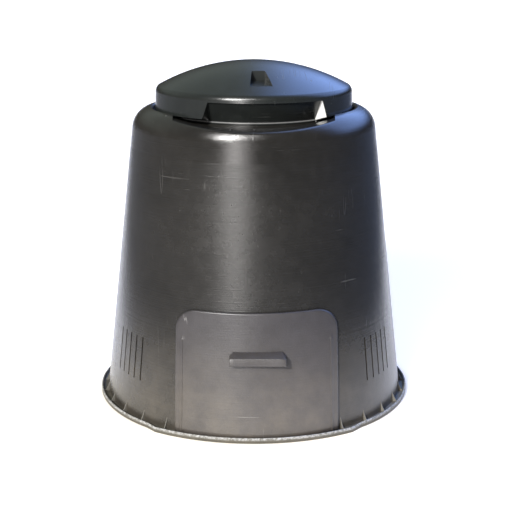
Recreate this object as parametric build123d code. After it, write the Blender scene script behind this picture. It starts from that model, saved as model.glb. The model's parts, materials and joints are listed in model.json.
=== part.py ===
from build123d import *
import math
import os

# Garden compost bin: a tapered one-piece body, a hatch that lifts at the front, and a loose lid.
# Millimetres, +Z up, the hatch faces -Y, the ground is z = 0, the bin's own axis is X = Y = 0.

# ---- whole object -------------------------------------------------------------------------
FLANGE_R = 400.0          # outer radius of the foot flange
HEIGHT = 845.0            # ground to the top of the lid
WALL = 4.0                # moulded wall thickness

# ---- foot flange --------------------------------------------------------------------------
PLATE_T = 5.0             # flat part of the flange
LIP_H = 13.5              # turned-up outer lip
LIP_T = 4.0
PLATE_IN_R = 374.0
SILL_R = 447.0            # flatter arc of the front sill
SILL_HALF = 35.1          # degrees either side of the front
SILL_END = 40.1           # where the flange is round again
PEG_R = 4.0               # ground peg holes
PEG_CIRCLE_R = 389.0
PEG_ANGLES = [47.0, 137.0, 227.0, 317.0]

# ---- gussets ------------------------------------------------------------------------------
GUSSET_FIRST = 33.0       # degrees from the front
GUSSET_COUNT = 13         # steps from the first one round to the back
GUSSET_T = 3.0
GUSSET_TOP = 33.0
GUSSET_FOOT_R = 395.0

# ---- body cone ----------------------------------------------------------------------------
CONE_R0 = 382.9           # outer radius the cone would have at z = 0
CONE_K = 0.1164           # radius lost per millimetre of height
SPLIT_Z = 640.0           # height where the straight wall ends and the shoulder begins

# ---- shoulder -----------------------------------------------------------------------------
DOME_RHO = 54.9           # rounding from wall to crest
DOME_C = (248.6, 679.05)
CREST_R = 258.0
GROOVE_R = 249.5          # outer wall of the lid groove
GROOVE_Z = 709.0
NECK_R = 206.0
RIM_Z = 712.0
LEDGE_Z = 697.0           # ledge the lid rests on
MOUTH_R = 190.0
SCOOP_HALF = 188.0        # half width of the hand scoops at the front and back
SCOOP_ROUND = 9.0         # rounding of their outer edge
SCOOP_RISE = 15.0         # how much higher their floor is at the sides than in the middle
SCOOP_FLARE = 0.2         # how far their sides lean outward per millimetre of height

# ---- vents --------------------------------------------------------------------------------
VENT_W = 4.6
VENT_Z = (98.0, 206.0)
VENT_PITCH = 4.05
VENT_CENTRES = [56.0, 124.0]

# ---- hatch --------------------------------------------------------------------------------
HATCH_X = 7.0
HATCH_HALF_FOOT = 194.0
HATCH_HALF_TOP = 188.0
HATCH_Z = (7.5, 302.0)
HATCH_CORNER = 50.0
HATCH_BACK = 5.0          # panel stands this far off the wall
HATCH_FRONT = 9.0
HATCH_LIP = 1.2           # side lips reach to this far from the wall
BEAD_IN = 12.0
BEAD_TOP = 232.0
APERTURE_HALF = 162.0
APERTURE_Z = (20.0, 272.0)
RAIL_IN = 175.0
RAIL_T = 7.0
RAIL_TOP = 236.0

# ---- hatch handle -------------------------------------------------------------------------
GRIP_X = 9.0
GRIP_TOP = 214.0
GRIP_EDGE = 204.5
GRIP_LOW = 186.0
GRIP_FOOT = 180.0
GRIP_HALF_TOP = 57.0
GRIP_HALF = 66.0
GRIP_OUT = 21.0

# ---- lid ----------------------------------------------------------------------------------
LID_TURN = 7.6            # degrees: the lid as it lies, turned from the hatch
LID_DOME = 495.0          # radius of the lid's top
LID_FOOT_R = 245.0
LID_FOLD_R = 243.6
LID_FOOT_Z = 728.0
LID_FOLD_Z = 769.0
LID_T = 3.5
WINDOW_TOP_Z = 767.0
WINDOW_TOP_HALF = 33.5    # degrees
WINDOW_FOOT_HALF = 36.9
COLLAR_TOP = (240.0, 767.0)
COLLAR_FOOT = (203.0, 716.0)
SPIGOT_Z = 697.6
NOTCH_TURN = -2.6         # the finger notch is this far round from the middle of the window
NOTCH_R = (122.0, 203.0)
NOTCH_HALF = (15.5, 27.0)
NOTCH_Z = (807.5, 801.5)


def cone_r(z, off=0.0):
    return CONE_R0 - CONE_K * z + off


def lid_top(r):
    return HEIGHT - LID_DOME + math.sqrt(LID_DOME ** 2 - r * r)


def ring(points):
    edge = Polyline([(p[0], 0, p[1]) for p in points], close=True)
    return revolve(make_face(edge), Axis.Z)


def profile(*edges):
    return revolve(make_face(Wire(list(edges))), Axis.Z)


def line(a, b):
    return Line((a[0], 0, a[1]), (b[0], 0, b[1]))


def arc(a, m, b):
    return ThreePointArc((a[0], 0, a[1]), (m[0], 0, m[1]), (b[0], 0, b[1]))


def at_angle(centre, rho, deg):
    a = math.radians(deg)
    return (centre[0] + rho * math.cos(a), centre[1] + rho * math.sin(a))


def wedge(half_low, half_high, z_low, z_high, reach=700.0):
    # triangular prism about -Y, opening angle changes linearly with height
    faces = []
    for half, z in ((half_low, z_low), (half_high, z_high)):
        a = math.radians(half)
        x = reach * math.sin(a)
        y = -reach * math.cos(a)
        tri = Polyline([(0, 0, z), (x, y, z), (-x, y, z)], close=True)
        faces.append(make_face(tri))
    return loft(faces, ruled=True)


def outline_prism(points, y_near, y_far):
    edge = Polyline([(p[0], y_near, p[1]) for p in points], close=True)
    return extrude(make_face(edge), amount=y_far - y_near, dir=(0, 1, 0))


def cone_shell(off_in, off_out, z_low, z_high):
    return ring([(cone_r(z_low, off_in), z_low), (cone_r(z_low, off_out), z_low),
                 (cone_r(z_high, off_out), z_high), (cone_r(z_high, off_in), z_high)])


def save(shape, name):
    shape.label = name
    export_step(shape, "parts/" + name + ".step")


os.makedirs("parts", exist_ok=True)

# ---- foot flange --------------------------------------------------------------------------
sill_shift = SILL_R - FLANGE_R


def polar(r, deg):
    t = math.radians(deg)
    return (r * math.sin(t), -r * math.cos(t))


sill_cut = make_face(Polyline([(0, 0), polar(700, SILL_HALF), polar(700, -SILL_HALF)], close=True))
sill = (Pos(0, sill_shift) * Circle(SILL_R)) & sill_cut
lean_in = sill_shift * math.cos(math.radians(SILL_HALF))
sill_end_r = -lean_in + math.sqrt(lean_in ** 2 + SILL_R ** 2 - sill_shift ** 2)
foot = Circle(FLANGE_R) + sill
for side in (-1, 1):
    foot += make_face(Polyline([(0, 0), polar(sill_end_r, side * SILL_HALF), polar(FLANGE_R, side * SILL_END)],
                               close=True))
lip = foot - offset(foot, amount=-LIP_T)
base_flange = extrude(foot - Circle(PLATE_IN_R), amount=PLATE_T) + extrude(lip, amount=LIP_H)
for a in PEG_ANGLES:
    t = math.radians(a)
    hole = Pos(PEG_CIRCLE_R * math.sin(t), -PEG_CIRCLE_R * math.cos(t), 0) * Cylinder(PEG_R, 30)
    base_flange -= hole
save(base_flange, "base_flange")

# ---- gussets between flange and wall ------------------------------------------------------
core = ring([(0, -5), (cone_r(-5), -5), (cone_r(90), 90), (0, 90)])
rib_edge = Polyline([(360, 0, PLATE_T), (GUSSET_FOOT_R, 0, PLATE_T), (GUSSET_FOOT_R, 0, PLATE_T + 3),
                     (cone_r(GUSSET_TOP) + 1.5, 0, GUSSET_TOP), (360, 0, GUSSET_TOP)], close=True)
rib = extrude(make_face(rib_edge), amount=GUSSET_T / 2, both=True) - core
step = (180.0 - GUSSET_FIRST) / GUSSET_COUNT
gussets = []
for i in range(GUSSET_COUNT + 1):
    a = GUSSET_FIRST + i * step
    gussets.append(Rot(0, 0, a - 90) * rib)
    if i < GUSSET_COUNT:
        gussets.append(Rot(0, 0, -a - 90) * rib)
save(Compound(children=gussets), "flange_gussets")

# ---- body wall with vents and hatch opening -----------------------------------------------
body_wall = cone_shell(-WALL, 0.0, PLATE_T, SPLIT_Z)
lean = math.degrees(math.atan(CONE_K))
slot = Box(40, VENT_W, VENT_Z[1] - VENT_Z[0])
mid = sum(VENT_Z) / 2
for side in (-1, 1):
    for centre in VENT_CENTRES:
        for i in range(-2, 3):
            a = side * (centre + i * VENT_PITCH) - 90
            body_wall -= Rot(0, 0, a) * Pos(cone_r(mid), 0, mid) * Rot(0, -lean, 0) * slot
opening = outline_prism([(HATCH_X - APERTURE_HALF, APERTURE_Z[0]), (HATCH_X + APERTURE_HALF, APERTURE_Z[0]),
                         (HATCH_X + APERTURE_HALF - 4, APERTURE_Z[1]),
                         (HATCH_X - APERTURE_HALF + 4, APERTURE_Z[1])], -500, -200)
opening = fillet(opening.edges().filter_by(Axis.Y).group_by(Axis.Z)[-1], 42)
body_wall -= opening
save(body_wall, "body_wall")

# ---- shoulder: crest, hand scoops, lid groove and neck ------------------------------------
dome_start = (cone_r(685.4), 685.4)
crest_angle = math.degrees(math.acos((CREST_R - DOME_C[0]) / DOME_RHO))
crest = at_angle(DOME_C, DOME_RHO, crest_angle)
start_angle = math.degrees(math.atan2(dome_start[1] - DOME_C[1], dome_start[0] - DOME_C[0]))
dome_mid = at_angle(DOME_C, DOME_RHO, (crest_angle + start_angle) / 2)
inner_drop = (GROOVE_R, crest[1] - 8.5)
shoulder = profile(
    line((MOUTH_R, SPLIT_Z), (cone_r(SPLIT_Z), SPLIT_Z)),
    line((cone_r(SPLIT_Z), SPLIT_Z), dome_start),
    arc(dome_start, dome_mid, crest),
    arc(crest, (GROOVE_R + 2.4, crest[1] - 2.4), inner_drop),
    line(inner_drop, (GROOVE_R, GROOVE_Z)),
    line((GROOVE_R, GROOVE_Z), (NECK_R + WALL, GROOVE_Z)),
    line((NECK_R + WALL, GROOVE_Z), (NECK_R + WALL, RIM_Z)),
    line((NECK_R + WALL, RIM_Z), (NECK_R, RIM_Z)),
    line((NECK_R, RIM_Z), (NECK_R, LEDGE_Z)),
    line((NECK_R, LEDGE_Z), (MOUTH_R, LEDGE_Z)),
    line((MOUTH_R, LEDGE_Z), (MOUTH_R, SPLIT_Z)))
void_rho = DOME_RHO - WALL
void_start = at_angle(DOME_C, void_rho, start_angle)
void_crest = at_angle(DOME_C, void_rho, 75)
void_mid = at_angle(DOME_C, void_rho, (75 + start_angle) / 2)
void_foot = (cone_r(600, -WALL), 600)
void = profile(
    line((0, 600), void_foot),
    line(void_foot, void_start),
    arc(void_start, void_mid, void_crest),
    line(void_crest, (GROOVE_R + WALL, 722)),
    line((GROOVE_R + WALL, 722), (GROOVE_R + WALL, GROOVE_Z - WALL)),
    line((GROOVE_R + WALL, GROOVE_Z - WALL), (NECK_R + WALL, GROOVE_Z - WALL)),
    line((NECK_R + WALL, GROOVE_Z - WALL), (NECK_R + WALL, LEDGE_Z - WALL)),
    line((NECK_R + WALL, LEDGE_Z - WALL), (0, LEDGE_Z - WALL)),
    line((0, LEDGE_Z - WALL), (0, 600)))


def scoop(drop):
    # a shallow dished channel from front to back, lowest in the middle
    low = GROOVE_Z - drop
    half = SCOOP_HALF + drop
    edge = low + SCOOP_RISE
    top = half + SCOOP_FLARE * 40
    section = Wire([arc((-half, edge), (0, low), (half, edge)), line((half, edge), (top, edge + 40)),
                    line((top, edge + 40), (-top, edge + 40)), line((-top, edge + 40), (-half, edge))])
    block = extrude(make_face(section), amount=400, both=True, dir=(0, 1, 0))
    return block - Pos(0, 0, low) * Cylinder(NECK_R + WALL + 2, 200)


shoulder -= scoop(0.0)
shoulder -= void - scoop(WALL)
scoop_lips = [e for e in shoulder.edges()
              if GROOVE_Z - 0.5 < e.center().Z < GROOVE_Z + SCOOP_RISE and abs(e.center().X) < 1.0
              and abs(e.center().Y) > 270 and e.length > 200]
shoulder = fillet(scoop_lips, SCOOP_ROUND)
save(shoulder, "body_shoulder")

# ---- rails that guide the hatch -----------------------------------------------------------
rail_band = cone_shell(0.0, 3.8, 14.0, RAIL_TOP)
rails = []
for side in (-1, 1):
    x = HATCH_X + side * (RAIL_IN + RAIL_T / 2)
    rails.append(rail_band & (Pos(x, -300, 150) * Box(RAIL_T, 300, 400)))
save(Compound(children=rails), "hatch_rails")

# ---- hatch --------------------------------------------------------------------------------


def hatch_outline(inset, corner, z_low, z_high):
    blank = outline_prism([(HATCH_X - HATCH_HALF_FOOT + inset, z_low), (HATCH_X + HATCH_HALF_FOOT - inset, z_low),
                           (HATCH_X + HATCH_HALF_TOP - inset, z_high),
                           (HATCH_X - HATCH_HALF_TOP + inset, z_high)], -500, -200)
    return fillet(blank.edges().filter_by(Axis.Y).group_by(Axis.Z)[-1], corner)


blank = hatch_outline(0.0, HATCH_CORNER, HATCH_Z[0], HATCH_Z[1])
inset = hatch_outline(4.0, HATCH_CORNER - 4, HATCH_Z[0] - 10, HATCH_Z[1] - 4)
panel = cone_shell(HATCH_BACK, HATCH_FRONT, 0.0, 320.0) & blank
lips = (cone_shell(HATCH_LIP, HATCH_BACK, 0.0, 320.0) & blank) - inset
bead_band = cone_shell(HATCH_FRONT, HATCH_FRONT + 0.9, HATCH_Z[0], BEAD_TOP)
hatch_door = panel + lips
for side in (-1, 1):
    x = HATCH_X + side * (HATCH_HALF_FOOT - BEAD_IN - 3)
    bead = Pos(x, -300, 150) * Rot(0, side * -1.1, 0) * Box(4.0, 300, 500)
    hatch_door += bead_band & bead
save(hatch_door, "hatch_door")

# ---- handle on the hatch: a hood the fingers reach into from below -------------------------


def grip_block(shrink, z_drop):
    def out(z, off):
        return -(cone_r(z, HATCH_FRONT) + off)
    side_edge = Polyline([(0, out(GRIP_TOP, -6), GRIP_TOP - shrink), (0, out(GRIP_TOP, 1), GRIP_TOP - shrink),
                          (0, out(GRIP_EDGE, GRIP_OUT - shrink), GRIP_EDGE - shrink),
                          (0, out(GRIP_LOW, GRIP_OUT + 1 - shrink), GRIP_LOW - z_drop),
                          (0, out(GRIP_FOOT, -6), GRIP_FOOT - z_drop)], close=True)
    bar = extrude(make_face(side_edge), amount=100, both=True, dir=(1, 0, 0))
    ends = outline_prism([(-GRIP_HALF_TOP + shrink, GRIP_TOP - shrink), (GRIP_HALF_TOP - shrink, GRIP_TOP - shrink),
                          (GRIP_HALF - shrink, GRIP_EDGE - shrink), (GRIP_HALF - shrink, GRIP_FOOT - z_drop - 1),
                          (-GRIP_HALF + shrink, GRIP_FOOT - z_drop - 1),
                          (-GRIP_HALF + shrink, GRIP_EDGE - shrink)], -500, -200)
    return bar & ends


door_core = ring([(0, 0), (cone_r(0, HATCH_FRONT), 0), (cone_r(330, HATCH_FRONT), 330), (0, 330)])
handle = Pos(GRIP_X, 0, 0) * (grip_block(0.0, 0.0) - grip_block(3.5, 20.0)) - door_core
save(handle, "hatch_handle")

# ---- lid: domed top and skirt with two hand windows ----------------------------------------


def lid_solid(t, foot_z):
    k = (LID_FOOT_R - LID_FOLD_R) / (LID_FOLD_Z - LID_FOOT_Z)
    foot_r = LID_FOLD_R - t + k * (LID_FOLD_Z - foot_z)
    fold_r = LID_FOLD_R - t
    dome_r = fold_r - 7.0
    dome_z = lid_top(dome_r + t) - t
    half_r = dome_r / 2
    return profile(
        line((0, foot_z), (foot_r, foot_z)),
        line((foot_r, foot_z), (fold_r, LID_FOLD_Z)),
        arc((fold_r, LID_FOLD_Z), (fold_r - 1.9, LID_FOLD_Z + (dome_z - LID_FOLD_Z) * 0.6), (dome_r, dome_z)),
        arc((dome_r, dome_z), (half_r, lid_top(half_r) - t), (0, HEIGHT - t)),
        line((0, HEIGHT - t), (0, foot_z)))


def notch(grow):
    half = (NOTCH_HALF[0] + grow, NOTCH_HALF[1] + grow)
    r_in = NOTCH_R[0] - grow
    low_in = NOTCH_Z[0] - grow
    reach = 100.0
    fall = (NOTCH_Z[0] - NOTCH_Z[1]) / (NOTCH_R[1] - NOTCH_R[0])
    low_out = low_in - fall * reach
    spread = half[0] + (half[1] - half[0]) * reach / (NOTCH_R[1] - NOTCH_R[0])
    plan = Polyline([(-half[0], -r_in, 780), (half[0], -r_in, 780), (spread, -r_in - reach, 780),
                     (-spread, -r_in - reach, 780)], close=True)
    block = extrude(make_face(plan), amount=100, dir=(0, 0, 1))
    side_edge = Polyline([(-200, -r_in, low_in), (-200, -r_in - reach, low_out), (-200, -r_in - reach, 900),
                          (-200, -r_in, 900)], close=True)
    return Rot(0, 0, NOTCH_TURN) * (block & extrude(make_face(side_edge), amount=400, dir=(1, 0, 0)))


window_slope = (WINDOW_FOOT_HALF - WINDOW_TOP_HALF) / (WINDOW_TOP_Z - LID_FOOT_Z)
foot_half = WINDOW_FOOT_HALF + window_slope * 12
window = wedge(foot_half, WINDOW_TOP_HALF, LID_FOOT_Z - 12, WINDOW_TOP_Z)
cheek_window = wedge(foot_half + 0.9, WINDOW_TOP_HALF + 0.9, LID_FOOT_Z - 12, WINDOW_TOP_Z)
lid = lid_solid(0.0, LID_FOOT_Z) - (lid_solid(LID_T, LID_FOOT_Z - 20) - notch(LID_T)) - notch(0.0)
skirt_space = ring([(COLLAR_FOOT[0], COLLAR_FOOT[1]), (LID_FOOT_R, LID_FOOT_Z), (LID_FOLD_R, WINDOW_TOP_Z),
                    COLLAR_TOP])
window_cut = ring([(225, 700), (270, 700), (270, WINDOW_TOP_Z), (225, WINDOW_TOP_Z)]) & window
cheeks = (skirt_space & cheek_window) - window
for turn in (0, 180):
    lid -= Rot(0, 0, turn) * window_cut
for turn in (0, 180):
    lid += Rot(0, 0, turn) * cheeks
save(Rot(0, 0, LID_TURN) * lid, "lid_shell")

# ---- collar under the lid: a cone behind the windows and a spigot into the neck -------------
collar = ring([COLLAR_TOP, COLLAR_FOOT, (COLLAR_FOOT[0] + 2.2, COLLAR_FOOT[1] - 1.5),
               (COLLAR_FOOT[0] + 2.2, COLLAR_FOOT[1] - 3.5), (COLLAR_FOOT[0], COLLAR_FOOT[1] - 5),
               (COLLAR_FOOT[0], SPIGOT_Z), (COLLAR_FOOT[0] - LID_T, SPIGOT_Z),
               (COLLAR_FOOT[0] - LID_T, COLLAR_FOOT[1] - 1), (COLLAR_TOP[0] - 4.5, COLLAR_TOP[1]), ])
save(collar, "lid_collar")
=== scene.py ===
import json
import math

import bmesh
import bpy
from mathutils import Matrix, Vector


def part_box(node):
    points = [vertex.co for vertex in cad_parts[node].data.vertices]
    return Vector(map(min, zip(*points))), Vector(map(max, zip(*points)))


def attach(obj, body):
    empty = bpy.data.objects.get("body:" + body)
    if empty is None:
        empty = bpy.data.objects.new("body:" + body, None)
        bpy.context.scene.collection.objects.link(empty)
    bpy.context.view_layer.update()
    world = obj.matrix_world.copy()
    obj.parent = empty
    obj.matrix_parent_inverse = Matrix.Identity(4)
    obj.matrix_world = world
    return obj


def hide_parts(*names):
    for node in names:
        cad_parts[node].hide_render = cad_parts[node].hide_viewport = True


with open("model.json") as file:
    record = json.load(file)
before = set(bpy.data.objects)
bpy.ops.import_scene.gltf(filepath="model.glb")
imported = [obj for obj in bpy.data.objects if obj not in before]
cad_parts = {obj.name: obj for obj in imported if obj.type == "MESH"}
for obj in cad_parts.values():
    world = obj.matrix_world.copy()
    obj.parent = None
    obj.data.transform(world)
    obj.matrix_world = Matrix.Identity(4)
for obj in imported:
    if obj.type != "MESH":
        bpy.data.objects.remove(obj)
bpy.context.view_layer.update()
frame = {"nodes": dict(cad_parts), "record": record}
nodes = frame["nodes"]

MM = 1000.0


def box_mm(node):
    # lowest and highest corners of a CAD node at rest, in millimetres
    return [[round(value * MM, 3) for value in corner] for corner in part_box(node)]


# ---- places and sizes read from the frame, in millimetres ---------------------------------
wall_low, wall_high = box_mm("body_wall")
shoulder_low, shoulder_high = box_mm("body_shoulder")
hatch_low, hatch_high = box_mm("hatch_door")
handle_low, handle_high = box_mm("hatch_handle")
gusset_high = box_mm("flange_gussets")[1]
pegs = next(mount["dims"] for mount in frame["record"]["mounts"] if mount["name"] == "peg_holes")

WALL_FOOT = wall_low[2]
WALL_FOOT_R = wall_high[0]
WALL_TOP = shoulder_low[2]
WALL_TOP_R = shoulder_high[0]
LID_FOOT = box_mm("lid_shell")[0][2]
LID_FOLD = box_mm("lid_collar")[1][2]

# ---- camera: in front of the bin and above its lid, looking down 14.9 degrees --------------
CAMERA_BACK = 2.8
CAMERA_HEIGHT = 1.090
CAMERA_PITCH = 14.868
CAMERA_LENS = 79.24
CAMERA_SENSOR = 36.0
# sideways shift, as a fraction of the picture's width
CAMERA_SHIFT = 0.00235


def make_camera():
    data = bpy.data.cameras.new("camera")
    data.lens = CAMERA_LENS
    data.sensor_width = CAMERA_SENSOR
    data.shift_x = CAMERA_SHIFT
    cam = bpy.data.objects.new("camera", data)
    bpy.context.collection.objects.link(cam)
    cam.location = (0.0, -CAMERA_BACK, CAMERA_HEIGHT)
    cam.rotation_euler = (math.radians(90 - CAMERA_PITCH), 0.0, 0.0)
    bpy.context.scene.camera = cam


# ---- material helpers ---------------------------------------------------------------------
class Graph:
    # a small builder for shader node trees
    def __init__(self, mat):
        mat.use_nodes = True
        self.tree = mat.node_tree
        self.bsdf = self.tree.nodes["Principled BSDF"]
        self.coord = self.tree.nodes.new("ShaderNodeTexCoord").outputs["Object"]
        self.split = None

    def put(self, socket, value):
        if isinstance(value, bpy.types.NodeSocket):
            self.tree.links.new(value, socket)
        else:
            socket.default_value = value

    def axis(self, name):
        if self.split is None:
            self.split = self.tree.nodes.new("ShaderNodeSeparateXYZ")
            self.put(self.split.inputs[0], self.coord)
        return self.split.outputs[name]

    def reach(self):
        # distance from the upright axis through the middle of the bin
        across = self.math("POWER", self.axis("X"), 2.0)
        deep = self.math("POWER", self.axis("Y"), 2.0)
        return self.math("SQRT", self.math("ADD", across, deep))

    def stretch(self, scale, turn=(0.0, 0.0, 0.0)):
        node = self.tree.nodes.new("ShaderNodeMapping")
        self.put(node.inputs["Vector"], self.coord)
        node.inputs["Scale"].default_value = scale
        node.inputs["Rotation"].default_value = turn
        return node.outputs[0]

    def noise(self, scale, detail, rough=0.55, vector=None):
        node = self.tree.nodes.new("ShaderNodeTexNoise")
        self.put(node.inputs["Vector"], vector or self.coord)
        node.inputs["Scale"].default_value = scale
        node.inputs["Detail"].default_value = detail
        node.inputs["Roughness"].default_value = rough
        return node.outputs["Fac"]

    def dots(self, scale):
        node = self.tree.nodes.new("ShaderNodeTexVoronoi")
        self.put(node.inputs["Vector"], self.coord)
        node.inputs["Scale"].default_value = scale
        return node.outputs["Distance"]

    def ramp(self, value, low, high, out_low=0.0, out_high=1.0, smooth=True):
        node = self.tree.nodes.new("ShaderNodeMapRange")
        if smooth:
            node.interpolation_type = "SMOOTHSTEP"
        self.put(node.inputs["Value"], value)
        node.inputs["From Min"].default_value = low
        node.inputs["From Max"].default_value = high
        node.inputs["To Min"].default_value = out_low
        node.inputs["To Max"].default_value = out_high
        return node.outputs["Result"]

    def math(self, op, a, b=0.0):
        node = self.tree.nodes.new("ShaderNodeMath")
        node.operation = op
        self.put(node.inputs[0], a)
        self.put(node.inputs[1], b)
        return node.outputs[0]

    def mix(self, factor, a, b):
        node = self.tree.nodes.new("ShaderNodeMix")
        node.data_type = "RGBA"
        self.put(node.inputs[0], factor)
        for socket, value in ((node.inputs[6], a), (node.inputs[7], b)):
            self.put(socket, value if isinstance(value, bpy.types.NodeSocket) else (*value, 1.0))
        return node.outputs[2]

    def bump(self, height, distance, strength=1.0, normal=None):
        node = self.tree.nodes.new("ShaderNodeBump")
        self.put(node.inputs["Height"], height)
        node.inputs["Distance"].default_value = distance
        node.inputs["Strength"].default_value = strength
        if normal is not None:
            self.put(node.inputs["Normal"], normal)
        return node.outputs[0]


def scratch_field(g, turn, long_scale, fine_scale, threshold):
    # thin, broken, nearly straight lines: wavering sheets that cut through the surface
    lines = g.noise(1.0, 0.0, 0.3, g.stretch((fine_scale, long_scale, long_scale), turn))
    ridge = g.math("ABSOLUTE", g.math("SUBTRACT", lines, 0.5))
    line = g.ramp(ridge, 0.0, threshold, 1.0, 0.0)
    gate = g.ramp(g.noise(11.0, 2.0, 0.5, g.stretch((1.0, 1.0, 1.0), turn)), 0.64, 0.72)
    return g.math("MULTIPLY", line, gate)


# the lid is turned this many degrees from the front
LID_TURN = 7.6
# half width of a hand window at the lid's fold in degrees, and what it gains for each metre down
WINDOW_HALF = 33.5
WINDOW_GAIN = 87.2
# the painted strip starts before the window's edge and ends past it, in degrees
CHEEK_BEFORE = -0.25
CHEEK_PAST = 0.6
# the paint stays inside the skirt's outer face and just above the fold, in metres
CHEEK_REACH = 0.2432
CHEEK_OVER = 0.0005


def window_cheeks(g):
    # where the side face at one end of each hand window lies
    drop = g.math("SUBTRACT", LID_FOLD / MM, g.axis("Z"))
    half = g.math("ADD", WINDOW_HALF, g.math("MULTIPLY", drop, WINDOW_GAIN))
    flip_x = g.math("MULTIPLY", g.axis("X"), -1.0)
    flip_y = g.math("MULTIPLY", g.axis("Y"), -1.0)
    strips = []
    for x, y in ((g.axis("X"), flip_y), (flip_x, g.axis("Y"))):
        turn = g.math("MULTIPLY", g.math("ARCTAN2", x, y), math.degrees(1.0))
        past = g.math("SUBTRACT", g.math("SUBTRACT", turn, LID_TURN), half)
        started = g.math("GREATER_THAN", past, CHEEK_BEFORE)
        strips.append(g.math("MULTIPLY", started, g.math("LESS_THAN", past, CHEEK_PAST)))
    cheeks = g.math("MAXIMUM", strips[0], strips[1])
    cheeks = g.math("MULTIPLY", cheeks, g.math("LESS_THAN", g.reach(), CHEEK_REACH))
    return g.math("MULTIPLY", cheeks, g.math("LESS_THAN", g.axis("Z"), LID_FOLD / MM + CHEEK_OVER))


SCUFF_TONE = (0.21, 0.20, 0.19)
DUST_TONE = (0.17, 0.145, 0.11)
CHEEK_TONE = (0.80, 0.80, 0.78)
# garden dust fades out at this height, in metres
DUST_TOP = 0.30
GLOSS = 0.5


def plastic(name, dark, pale, rough, scuffs, grain=1.0, soil=0.0, rings=0.0, wear=None, cheeks=False):
    mat = bpy.data.materials.new(name)
    g = Graph(mat)
    cloud = g.ramp(g.noise(4.0, 3.0, 0.5), 0.3, 0.7)
    mottle = g.ramp(g.noise(38.0, 4.0, 0.55), 0.25, 0.8)
    color = g.mix(g.math("MULTIPLY", g.math("ADD", cloud, mottle), 0.5), dark, pale)
    # hairline scratches, level rub marks and short chips, all scattered by noise
    scratches = scratch_field(g, (0.1, 0.9, 0.2), 2.0, 60.0, 0.008)
    scratches = g.math("MAXIMUM", scratches, scratch_field(g, (0.0, 0.15, 0.6), 2.5, 75.0, 0.007))
    rubs = g.ramp(g.noise(1.0, 2.0, 0.5, g.stretch((6.0, 6.0, 260.0))), 0.66, 0.74)
    rubs = g.math("MULTIPLY", rubs, g.ramp(g.noise(9.0, 2.0), 0.56, 0.68))
    specks = g.ramp(g.dots(70.0), 0.075, 0.03)
    specks = g.math("MULTIPLY", specks, g.ramp(g.noise(22.0, 1.0), 0.60, 0.70))
    marks = g.math("MAXIMUM", g.math("MAXIMUM", scratches, rubs), specks)
    color = g.mix(g.math("MULTIPLY", marks, scuffs), color, SCUFF_TONE)
    # garden dust gathers low down
    dust = g.math("MULTIPLY", g.ramp(g.axis("Z"), DUST_TOP, 0.0, 0.0, 1.0), soil)
    dust = g.math("MULTIPLY", dust, g.ramp(g.noise(14.0, 5.0, 0.7), 0.25, 0.8, 0.35, 1.0))
    color = g.mix(dust, color, DUST_TONE)
    roughness = g.math("ADD", g.ramp(cloud, 0.0, 1.0, rough - 0.02, rough + 0.025, False),
                       g.math("MULTIPLY", g.math("ADD", marks, dust), 0.22))
    roughness = g.math("ADD", roughness, g.ramp(mottle, 0.0, 1.0, -0.012, 0.012, False))
    if wear is not None:
        low, high, tone = wear
        worn = g.ramp(g.axis("Z"), low, high)
        chips = g.ramp(g.noise(150.0, 5.0, 0.8), 0.40, 0.60, 0.12, 1.0)
        worn = g.math("MULTIPLY", worn, chips)
        color = g.mix(worn, color, tone)
        roughness = g.math("ADD", roughness, g.math("MULTIPLY", worn, 0.2))
    if cheeks:
        # near-white paint that stands for the strong light on a window's side face
        color = g.mix(g.math("MULTIPLY", window_cheeks(g), 0.95), color, CHEEK_TONE)
    g.put(g.bsdf.inputs["Base Color"], color)
    g.put(g.bsdf.inputs["Roughness"], roughness)
    g.bsdf.inputs["Specular IOR Level"].default_value = GLOSS
    # moulded grain, a soft waviness of the wall and faint level turning lines
    normal = g.bump(g.noise(2.6, 2.0), 0.006 * grain)
    normal = g.bump(g.noise(900.0, 2.0, 0.6), 0.00016 * grain, 1.0, normal)
    normal = g.bump(g.noise(150.0, 3.0, 0.6), 0.00022 * grain, 1.0, normal)
    if rings:
        turned = g.noise(1.0, 3.0, 0.7, g.stretch((0.6, 0.6, 340.0)))
        normal = g.bump(turned, 0.0004 * rings, 1.0, normal)
    normal = g.bump(marks, 0.0003, 0.6, normal)
    g.put(g.bsdf.inputs["Normal"], normal)
    return mat


def dress(node, mat):
    node.data.materials.clear()
    node.data.materials.append(mat)


# ---- lights -------------------------------------------------------------------------------
def lamp(kind, name, place, target, power, color, **facts):
    data = bpy.data.lights.new(name, kind)
    data.energy = power
    data.color = color
    for key, value in facts.items():
        setattr(data, key, value)
    obj = bpy.data.objects.new(name, data)
    bpy.context.collection.objects.link(obj)
    obj.location = place
    obj.rotation_euler = (Vector(target) - Vector(place)).to_track_quat("-Z", "Y").to_euler()


LOW_LEFT = (0.15, 0.125, 0.095)
LOW_RIGHT = (0.012, 0.012, 0.013)
LOW_BACK = (0.06, 0.055, 0.045)
HIGH_FRONT = (0.035, 0.037, 0.040)
HIGH_LEFT = (0.29, 0.33, 0.29)
HIGH_RIGHT = (1.25, 2.0, 4.3)


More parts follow.
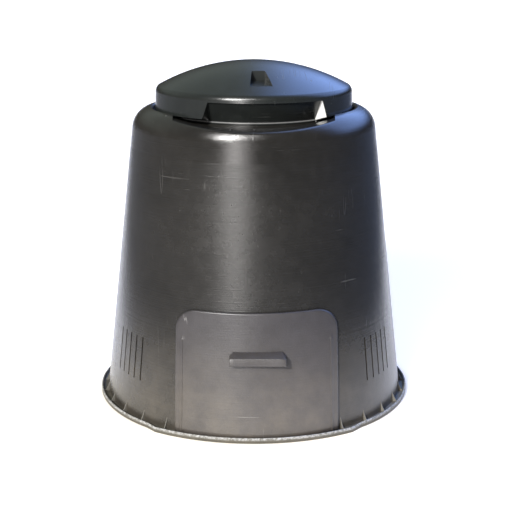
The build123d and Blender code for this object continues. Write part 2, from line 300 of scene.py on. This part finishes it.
def make_world():
    # brown low on the left, near black low on the right, dark above in front,
    # and behind and above green-grey on the left and strong blue on the right
    world = bpy.data.worlds.new("world")
    bpy.context.scene.world = world
    world.use_nodes = True
    tree = world.node_tree
    put = tree.links.new
    split = tree.nodes.new("ShaderNodeSeparateXYZ")
    put(tree.nodes.new("ShaderNodeTexCoord").outputs["Generated"], split.inputs[0])

    def ramp(source, low, high):
        node = tree.nodes.new("ShaderNodeMapRange")
        node.interpolation_type = "SMOOTHSTEP"
        put(source, node.inputs["Value"])
        node.inputs["From Min"].default_value = low
        node.inputs["From Max"].default_value = high
        return node.outputs["Result"]

    def mix(factor, a, b):
        node = tree.nodes.new("ShaderNodeMix")
        node.data_type = "RGBA"
        put(factor, node.inputs[0])
        for socket, value in ((node.inputs[6], a), (node.inputs[7], b)):
            if isinstance(value, bpy.types.NodeSocket):
                put(value, socket)
            else:
                socket.default_value = (*value, 1.0)
        return node.outputs[2]

    low_front = mix(ramp(split.outputs["X"], -0.6, 0.1), LOW_LEFT, LOW_RIGHT)
    low = mix(ramp(split.outputs["Y"], -0.2, 0.5), low_front, LOW_BACK)
    high_back = mix(ramp(split.outputs["X"], -0.05, 0.30), HIGH_LEFT, HIGH_RIGHT)
    high = mix(ramp(split.outputs["Y"], -0.25, 0.25), HIGH_FRONT, high_back)
    sky = mix(ramp(split.outputs["Z"], 0.12, 0.42), low, high)
    put(sky, tree.nodes["Background"].inputs["Color"])
    tree.nodes["Background"].inputs["Strength"].default_value = 1.0


make_camera()
make_world()
lamp("SUN", "sun", (-1.7, -3.6, 2.6), (0, 0, 0.5), 5.0, (1.0, 0.985, 0.96), angle=math.radians(4))
lamp("AREA", "front_strip", (-1.15, -4.2, 0.95), (0, 0, 0.5), 60, (1.0, 0.97, 0.95),
     shape="RECTANGLE", size=0.9, size_y=1.8)
lamp("AREA", "upper_strip", (-1.2, -3.4, 3.1), (0, 0, 0.7), 105, (1.0, 0.985, 0.97),
     shape="RECTANGLE", size=2.3, size_y=0.6)

# ---- materials ----------------------------------------------------------------------------
BODY_TONES = ((0.0105, 0.0100, 0.0090), (0.018, 0.017, 0.0155))
LID_TONES = ((0.0100, 0.0115, 0.0110), (0.016, 0.018, 0.017))
HATCH_TONES = ((0.027, 0.025, 0.026), (0.040, 0.037, 0.039))
FLANGE_TONES = ((0.022, 0.022, 0.017), (0.042, 0.041, 0.032))
# painted highlight: the collar bead is pale grey, standing in for the bright line of light along it
BEAD_HIGHLIGHT_TONES = ((0.10, 0.10, 0.10), (0.20, 0.20, 0.20))
FIN_TONES = ((0.060, 0.060, 0.054), (0.110, 0.107, 0.098))
# the flange's lip is worn pale between these heights, in metres
LIP_WEAR = (0.0056, 0.0100, (0.31, 0.31, 0.305))

body_mat = plastic("moulded_black", *BODY_TONES, 0.25, 0.30, soil=0.3, rings=1.0)
shoulder_mat = plastic("moulded_black_shoulder", *BODY_TONES, 0.20, 0.3, rings=0.6)
lid_mat = plastic("moulded_black_lid", *LID_TONES, 0.24, 0.3, grain=0.35, cheeks=True)
hatch_mat = plastic("moulded_grey_hatch", *HATCH_TONES, 0.35, 0.4, soil=0.4, rings=0.7)
flange_mat = plastic("moulded_black_flange", *FLANGE_TONES, 0.45, 0.7, soil=0.4, wear=LIP_WEAR)
bead_highlight_mat = plastic("bead_painted_highlight", *BEAD_HIGHLIGHT_TONES, 0.22, 0.5)
fin_mat = plastic("moulded_black_ribs", *FIN_TONES, 0.38, 0.7, soil=0.4)

dress(nodes["body_wall"], body_mat)
dress(nodes["hatch_rails"], body_mat)
dress(nodes["body_shoulder"], shoulder_mat)
dress(nodes["lid_shell"], lid_mat)
dress(nodes["lid_collar"], lid_mat)


# ---- pieces built here, in millimetres ----------------------------------------------------
def wall_r(z, off):
    # radius of the tapered wall's outer face at a height, moved out by off
    slope = (WALL_TOP_R - WALL_FOOT_R) / (WALL_TOP - WALL_FOOT)
    return WALL_FOOT_R + slope * (z - WALL_FOOT) + off


def on_wall(x, z, off):
    # a point off the front of the wall, given its sideways place and height
    r = wall_r(z, off)
    return (x, -math.sqrt(r * r - x * x), z)


def round_axis(deg, r, z):
    # a point at an angle from the front, counted toward the right
    turn = math.radians(deg)
    return (r * math.sin(turn), -r * math.cos(turn), z)


def add_piece(name, verts, faces, mat, body, stands_for, steps):
    mesh = bpy.data.meshes.new(name)
    bm = bmesh.new()
    made = [bm.verts.new([value / MM for value in vert]) for vert in verts]
    for face in faces:
        bm.faces.new([made[i] for i in face])
    bmesh.ops.recalc_face_normals(bm, faces=bm.faces)
    bm.to_mesh(mesh)
    bm.free()
    for poly in mesh.polygons:
        poly.use_smooth = True
    mesh.materials.append(mat)
    obj = bpy.data.objects.new(name, mesh)
    bpy.context.collection.objects.link(obj)
    for kind, facts in steps:
        mod = obj.modifiers.new(kind.lower(), kind)
        for key, value in facts.items():
            setattr(mod, key, value)
    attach(obj, body)
    if stands_for:
        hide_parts(*stands_for)
    return obj


def thicken(width, even):
    return ("SOLIDIFY", {"thickness": width / MM, "offset": -1.0, "use_even_offset": even})


def edge_round(width, segments, angle):
    return ("BEVEL", {"width": width / MM, "segments": segments, "limit_method": "ANGLE",
                      "angle_limit": math.radians(angle), "harden_normals": False,
                      "use_clamp_overlap": False})


# hatch panel: a thin pan that follows the wall, with rounded top corners and a rib at each side
HATCH_X = (hatch_low[0] + hatch_high[0]) / 2
HATCH_HALF = (hatch_high[0] - hatch_low[0]) / 2
HATCH_LOW = hatch_low[2]
HATCH_HIGH = hatch_high[2]
HATCH_TAPER = 6.0
HATCH_CORNER = 50.0
HATCH_ROUND = 3.2
HATCH_THICK = 3.0
# its outer face and the end of its rolled rim, measured out from the wall
HATCH_FACE = 8.9
HATCH_BACK = 1.7
# columns of points near each side, as distances in from the rim
RIM_STEPS = (0.0, 4.0, 9.2, 10.0, 13.6, 14.4, 21.0, 33.0)
PAST_RIB = 60.0
RIB_START = 9.5
RIB_END = 14.0
RIB_RISE = 0.95
RIB_TOP = HATCH_HIGH - 69.0


def hatch_half(z):
    # half width of the panel's flat face, inside its rounded rim
    half = HATCH_HALF - HATCH_ROUND - HATCH_TAPER * (z - HATCH_LOW) / (HATCH_HIGH - HATCH_LOW)
    up = z - (HATCH_HIGH - HATCH_CORNER)
    radius = HATCH_CORNER - HATCH_ROUND
    if up > 0:
        half -= radius - math.sqrt(max(radius ** 2 - up ** 2, 0.0))
    return half


def make_hatch():
    corner = HATCH_HIGH - HATCH_CORNER
    levels = [HATCH_LOW + 12.2 * i for i in range(19)]
    levels += [RIB_TOP - 1.0, RIB_TOP + 1.0, (RIB_TOP + 1.0 + corner) / 2]
    for deg in range(0, 91, 6):
        levels.append(corner + (HATCH_CORNER - HATCH_ROUND) * math.sin(math.radians(deg)))
    count = 12
    verts = []
    for z in levels:
        half = hatch_half(z)
        inner = half - RIM_STEPS[-1]
        row = [(-half + step, step) for step in RIM_STEPS]
        row += [(-inner + 2 * inner * i / count, PAST_RIB) for i in range(1, count)]
        row += [(half - step, step) for step in reversed(RIM_STEPS)]
        for x, step in row:
            raised = RIB_RISE if RIB_START < step < RIB_END and z < RIB_TOP else 0.0
            verts.append(on_wall(HATCH_X + x, z, HATCH_FACE + raised))
    wide = 2 * len(RIM_STEPS) + count - 1
    last = len(levels) - 1
    faces = []
    for i in range(last):
        for j in range(wide - 1):
            first = i * wide + j
            faces.append((first, first + 1, first + wide + 1, first + wide))
    # the rim rolls over and turns back toward the wall along both sides and the top
    path = [i * wide for i in range(last + 1)]
    path += [last * wide + j for j in range(1, wide)]
    path += [i * wide + wide - 1 for i in reversed(range(last))]
    flat = [(verts[i][0], verts[i][2]) for i in path]
    outward = []
    for k in range(len(path)):
        back_x, back_z = flat[max(k - 1, 0)]
        next_x, next_z = flat[min(k + 1, len(path) - 1)]
        size = math.hypot(next_x - back_x, next_z - back_z)
        outward.append((-(next_z - back_z) / size, (next_x - back_x) / size))
    rolls = []
    for deg in (22.5, 45, 67.5, 90):
        drop = HATCH_ROUND * (1 - math.cos(math.radians(deg)))
        rolls.append((HATCH_ROUND * math.sin(math.radians(deg)), HATCH_FACE - drop))
    rolls.append((HATCH_ROUND, HATCH_BACK))
    before = path
    for out, off in rolls:
        row = []
        for k in range(len(path)):
            x = flat[k][0] + outward[k][0] * out
            z = min(flat[k][1] + outward[k][1] * out, HATCH_HIGH)
            row.append(len(verts))
            verts.append(on_wall(x, max(z, HATCH_LOW), off))
        for k in range(len(path) - 1):
            faces.append((before[k], before[k + 1], row[k + 1], row[k]))
        before = row
    steps = [thicken(HATCH_THICK, False)]
    obj = add_piece("hatch_panel", verts, faces, hatch_mat, "hatch", ["hatch_door"], steps)
    obj.data.set_sharp_from_angle(angle=math.radians(60))


# hood on the hatch, open underneath for the fingers, just inside the CAD handle's box
HOOD_X = (handle_low[0] + handle_high[0]) / 2
HOOD_HALF = (handle_high[0] - handle_low[0]) / 2 - 0.6
HOOD_TOP = handle_high[2] - 0.4
HOOD_FOOT = handle_low[2] + 0.6
HOOD_RIDGE = handle_high[2] - 10.0
HOOD_LOW = handle_low[2] + 6.4
HOOD_TOP_HALF = 56.5
HOOD_THICK = 3.4
# how far out from the wall it is rooted, and its ridge and lower edge stand
HOOD_ROOT = 7.0
HOOD_RIDGE_OUT = 29.4
HOOD_LOW_OUT = 30.4


def make_hood():
    count = 10
    spread = [-1.0 + 2.0 * i / count for i in range(count + 1)]
    ridge_y = -wall_r(HOOD_RIDGE, HOOD_RIDGE_OUT)
    low_y = -wall_r(HOOD_LOW, HOOD_LOW_OUT)
    verts = [on_wall(HOOD_X + HOOD_TOP_HALF * side, HOOD_TOP, HOOD_ROOT) for side in spread]
    verts += [(HOOD_X + HOOD_HALF * side, ridge_y, HOOD_RIDGE) for side in spread]
    verts += [(HOOD_X + HOOD_HALF * side, low_y, HOOD_LOW) for side in spread]
    faces = []
    for row in (0, count + 1):
        for i in range(count):
            first = row + i
            faces.append((first, first + 1, first + count + 2, first + count + 1))
    # the two ends close back to the hatch
    for side, top in ((-1, 0), (1, count)):
        ridge = top + count + 1
        low = ridge + count + 1
        root = len(verts)
        verts.append(on_wall(HOOD_X + HOOD_HALF * side, HOOD_FOOT, HOOD_ROOT))
        verts.append(on_wall(HOOD_X + HOOD_HALF * side, HOOD_RIDGE, HOOD_ROOT))
        faces.append((ridge, low, root, root + 1))
        faces.append((top, ridge, root + 1))
    steps = [thicken(HOOD_THICK, True), edge_round(2.0, 4, 25)]
    add_piece("hatch_hood", verts, faces, hatch_mat, "hatch", ["hatch_handle"], steps)


# foot flange: a flat ring with a rolled lip, flatter across the front sill
FLANGE_R = float(round(box_mm("base_flange")[1][0]))
FLANGE_INNER_R = 375.0
FLANGE_TOP = WALL_FOOT
SILL_R = 447.0
# the sill ends at the first angle from the front, and a straight step ends at the second
SILL_HALF = 35.1
SILL_END = 40.1
# section from the inside out: distance from the outline, none at the inner edge, and height
FLANGE_SECTION = (
    (None, 0.0), (None, FLANGE_TOP), (-10.0, FLANGE_TOP), (-6.2, 5.7), (-4.6, 7.6), (-4.2, 10.4),
    (-3.5, 12.4), (-2.2, 13.3), (-1.0, 13.0), (-0.2, 11.6), (0.0, 9.0), (0.0, 1.4), (-1.2, 0.0),
)
PEG_TURN = 47.0
PEG_CUT = 30.0


def sill_r(deg):
    # a larger circle that touches the flange's circle at the front
    shift = (SILL_R - FLANGE_R) * math.cos(math.radians(deg))
    return -shift + math.sqrt(shift ** 2 + SILL_R ** 2 - (SILL_R - FLANGE_R) ** 2)


def flange_r(deg):
    # outline radius at an angle from the front
    turn = abs((deg + 180.0) % 360.0 - 180.0)
    if turn <= SILL_HALF:
        return sill_r(turn)
    if turn >= SILL_END:
        return FLANGE_R
    # where the ray at this angle meets the straight step
    from_x, from_y, _ = round_axis(SILL_HALF, sill_r(SILL_HALF), 0.0)
    to_x, to_y, _ = round_axis(SILL_END, FLANGE_R, 0.0)
    ray_x, ray_y, _ = round_axis(turn, 1.0, 0.0)
    run_x = to_x - from_x
    run_y = to_y - from_y
    return (from_x * run_y - from_y * run_x) / (ray_x * run_y - ray_y * run_x)


def make_flange():
    angles = [i * 2.0 for i in range(180)]
    # closer points at both ends of the straight step, and two on it
    extra = [SILL_HALF - 0.25, SILL_HALF + 0.25, SILL_HALF + 1.6]
    extra += [SILL_HALF + 3.3, SILL_END - 0.25, SILL_END + 0.25]
    for side in (-1, 1):
        angles += [(side * step) % 360.0 for step in extra]
    angles = sorted(set(angles))
    verts = []
    for deg in angles:
        outline = flange_r(deg)
        for off, z in FLANGE_SECTION:
            verts.append(round_axis(deg, FLANGE_INNER_R if off is None else outline + off, z))
    turns = len(angles)
    points = len(FLANGE_SECTION)
    faces = []
    for i in range(turns):
        ahead = ((i + 1) % turns) * points
        for j in range(points):
            k = (j + 1) % points
            faces.append((i * points + j, i * points + k, ahead + k, ahead + j))
    obj = add_piece("foot_flange", verts, faces, flange_mat, "body", ["base_flange"], [])
    # the ground peg holes, from the record's mount
    cutter = bmesh.new()
    peg_r = pegs["hole_r_mm"] / MM
    for i in range(pegs["count"]):
        deg = PEG_TURN + i * 360.0 / pegs["count"]
        place = Vector(round_axis(deg, pegs["pcd_mm"] / 2, 0.0)) / MM
        bmesh.ops.create_cone(cutter, cap_ends=True, segments=24, radius1=peg_r, radius2=peg_r,
                              depth=PEG_CUT / MM, matrix=Matrix.Translation(place))
    mesh = bpy.data.meshes.new("peg_cut")
    cutter.to_mesh(mesh)
    cutter.free()
    tool = bpy.data.objects.new("peg_cut", mesh)
    bpy.context.collection.objects.link(tool)
    mod = obj.modifiers.new("holes", "BOOLEAN")
    mod.operation = "DIFFERENCE"
    mod.object = tool
    mod.solver = "EXACT"
    bpy.context.view_layer.update()
    done = bpy.data.meshes.new_from_object(obj.evaluated_get(bpy.context.evaluated_depsgraph_get()))
    obj.modifiers.clear()
    obj.data = done
    done.set_sharp_from_angle(angle=math.radians(50))
    bpy.data.objects.remove(tool)


# gussets: thin fins whose top edge sweeps down from the wall to the flange
FIN_COUNT = 14
FIN_FIRST = 33.0
FIN_TOP = gusset_high[2]
FIN_REACH = round(gusset_high[0]) - 0.4
FIN_FOOT = FLANGE_TOP - 0.2
FIN_SINK = 0.6
FIN_HALF = 1.4
FIN_TAPER = 0.4
FIN_SWEEP = 1.45


def make_fins():
    # from beside the hatch to the back, on both sides, with one fin in the middle of the back
    places = []
    for i in range(FIN_COUNT):
        deg = FIN_FIRST + i * (180.0 - FIN_FIRST) / (FIN_COUNT - 1)
        places += [deg] if i == FIN_COUNT - 1 else [deg, -deg]
    root = wall_r(FIN_TOP, -FIN_SINK)
    rise = FIN_TOP - FLANGE_TOP
    outline = [(wall_r(FIN_FOOT, -FIN_SINK), FIN_FOOT)]
    for k in range(11):
        along = k / 10.0
        outline.append((root + (FIN_REACH - root) * along, FLANGE_TOP + rise * (1.0 - along) ** FIN_SWEEP))
    outline.append((FIN_REACH, FIN_FOOT))
    size = len(outline)
    verts = []
    faces = []
    for deg in places:
        turn = math.radians(deg)
        start = len(verts)
        for side in (-1, 1):
            for r, z in outline:
                thick = side * (FIN_HALF - FIN_TAPER * max(z - FLANGE_TOP, 0.0) / rise)
                x, y, _ = round_axis(deg, r, z)
                verts.append((x + thick * math.cos(turn), y + thick * math.sin(turn), z))
        faces.append(tuple(start + j for j in range(size)))
        faces.append(tuple(start + size + j for j in reversed(range(size))))
        for j in range(size):
            k = (j + 1) % size
            faces.append((start + j, start + k, start + size + k, start + size + j))
    obj = add_piece("foot_fins", verts, faces, fin_mat, "body", ["flange_gussets"], [edge_round(0.5, 2, 60)])
    obj.data.set_sharp_from_angle(angle=math.radians(40))


# rounded bead round the collar, level with the foot of the lid, painted pale grey as a painted highlight for
# the bright line of light along it
BEAD_R = 204.6
BEAD_Z = LID_FOOT + 0.4
BEAD_THICK = 1.7


def make_bead():
    verts = []
    faces = []
    around = 192
    section = 10
    for i in range(around):
        for j in range(section):
            turn = 2 * math.pi * j / section
            z = BEAD_Z + BEAD_THICK * math.sin(turn)
            verts.append(round_axis(360.0 * i / around, BEAD_R + BEAD_THICK * math.cos(turn), z))
    for i in range(around):
        ahead = ((i + 1) % around) * section
        for j in range(section):
            k = (j + 1) % section
            faces.append((i * section + j, i * section + k, ahead + k, ahead + j))
    add_piece("collar_bead", verts, faces, bead_highlight_mat, "lid", [], [])


make_bead()
make_hatch()
make_hood()
make_flange()
make_fins()

# ---- floor, in metres ---------------------------------------------------------------------
FLOOR_SIZE = 40
FLOOR_DROP = 0.001
FLOOR_GLOW = 0.60
WEDGE_WIDTH = 0.27
PAPER_TONES = ((0.88, 0.88, 0.88), (0.91, 0.91, 0.91))
SIDE_TONES = ((0.30, 0.27, 0.23), (0.12, 0.12, 0.12))
UNDER_TONE = (0.12, 0.10, 0.08)
GLOW_TONE = (1.0, 0.87, 0.62, 1.0)


def make_floor():
    mesh = bpy.data.meshes.new("floor")
    bm = bmesh.new()
    bmesh.ops.create_grid(bm, x_segments=2, y_segments=2, size=FLOOR_SIZE)
    bm.to_mesh(mesh)
    bm.free()
    floor = bpy.data.objects.new("floor", mesh)
    bpy.context.collection.objects.link(floor)
    floor.location = (0, 0, -FLOOR_DROP)
    mat = bpy.data.materials.new("floor_paint")
    g = Graph(mat)
    # pale and faintly glowing round the bin and in a wedge that widens from the camera's place to
    # the back, the glow being painted light that lifts the shadows on the floor; toned down elsewhere so the
    # plastic keeps dark edges, and dark under the open foot
    wedge = g.math("MULTIPLY", g.math("ADD", g.axis("Y"), CAMERA_BACK), WEDGE_WIDTH)
    wedge = g.ramp(g.math("SUBTRACT", wedge, g.math("ABSOLUTE", g.axis("X"))), -0.5, 0.05)
    wedge = g.math("MULTIPLY", wedge, g.ramp(g.axis("Y"), -1.6, -0.9))
    reach = g.reach()
    pale = g.math("MAXIMUM", wedge, g.ramp(reach, 1.4, 0.62))
    open_floor = g.ramp(reach, 0.36, 0.43)
    around = g.mix(g.ramp(g.axis("X"), -1.0, 0.6), *SIDE_TONES)
    paper = g.mix(g.noise(3.0, 4.0), *PAPER_TONES)
    g.put(g.bsdf.inputs["Base Color"], g.mix(open_floor, UNDER_TONE, g.mix(pale, around, paper)))
    g.bsdf.inputs["Roughness"].default_value = 0.85
    g.bsdf.inputs["Emission Color"].default_value = GLOW_TONE
    # painted light: the pale floor glows faintly to lift its shadows, with no glow under the bin
    glow = g.math("MULTIPLY", g.math("MULTIPLY", pale, open_floor), FLOOR_GLOW)
    g.put(g.bsdf.inputs["Emission Strength"], glow)
    mesh.materials.append(mat)


make_floor()
bpy.context.scene.view_settings.view_transform = "Standard"
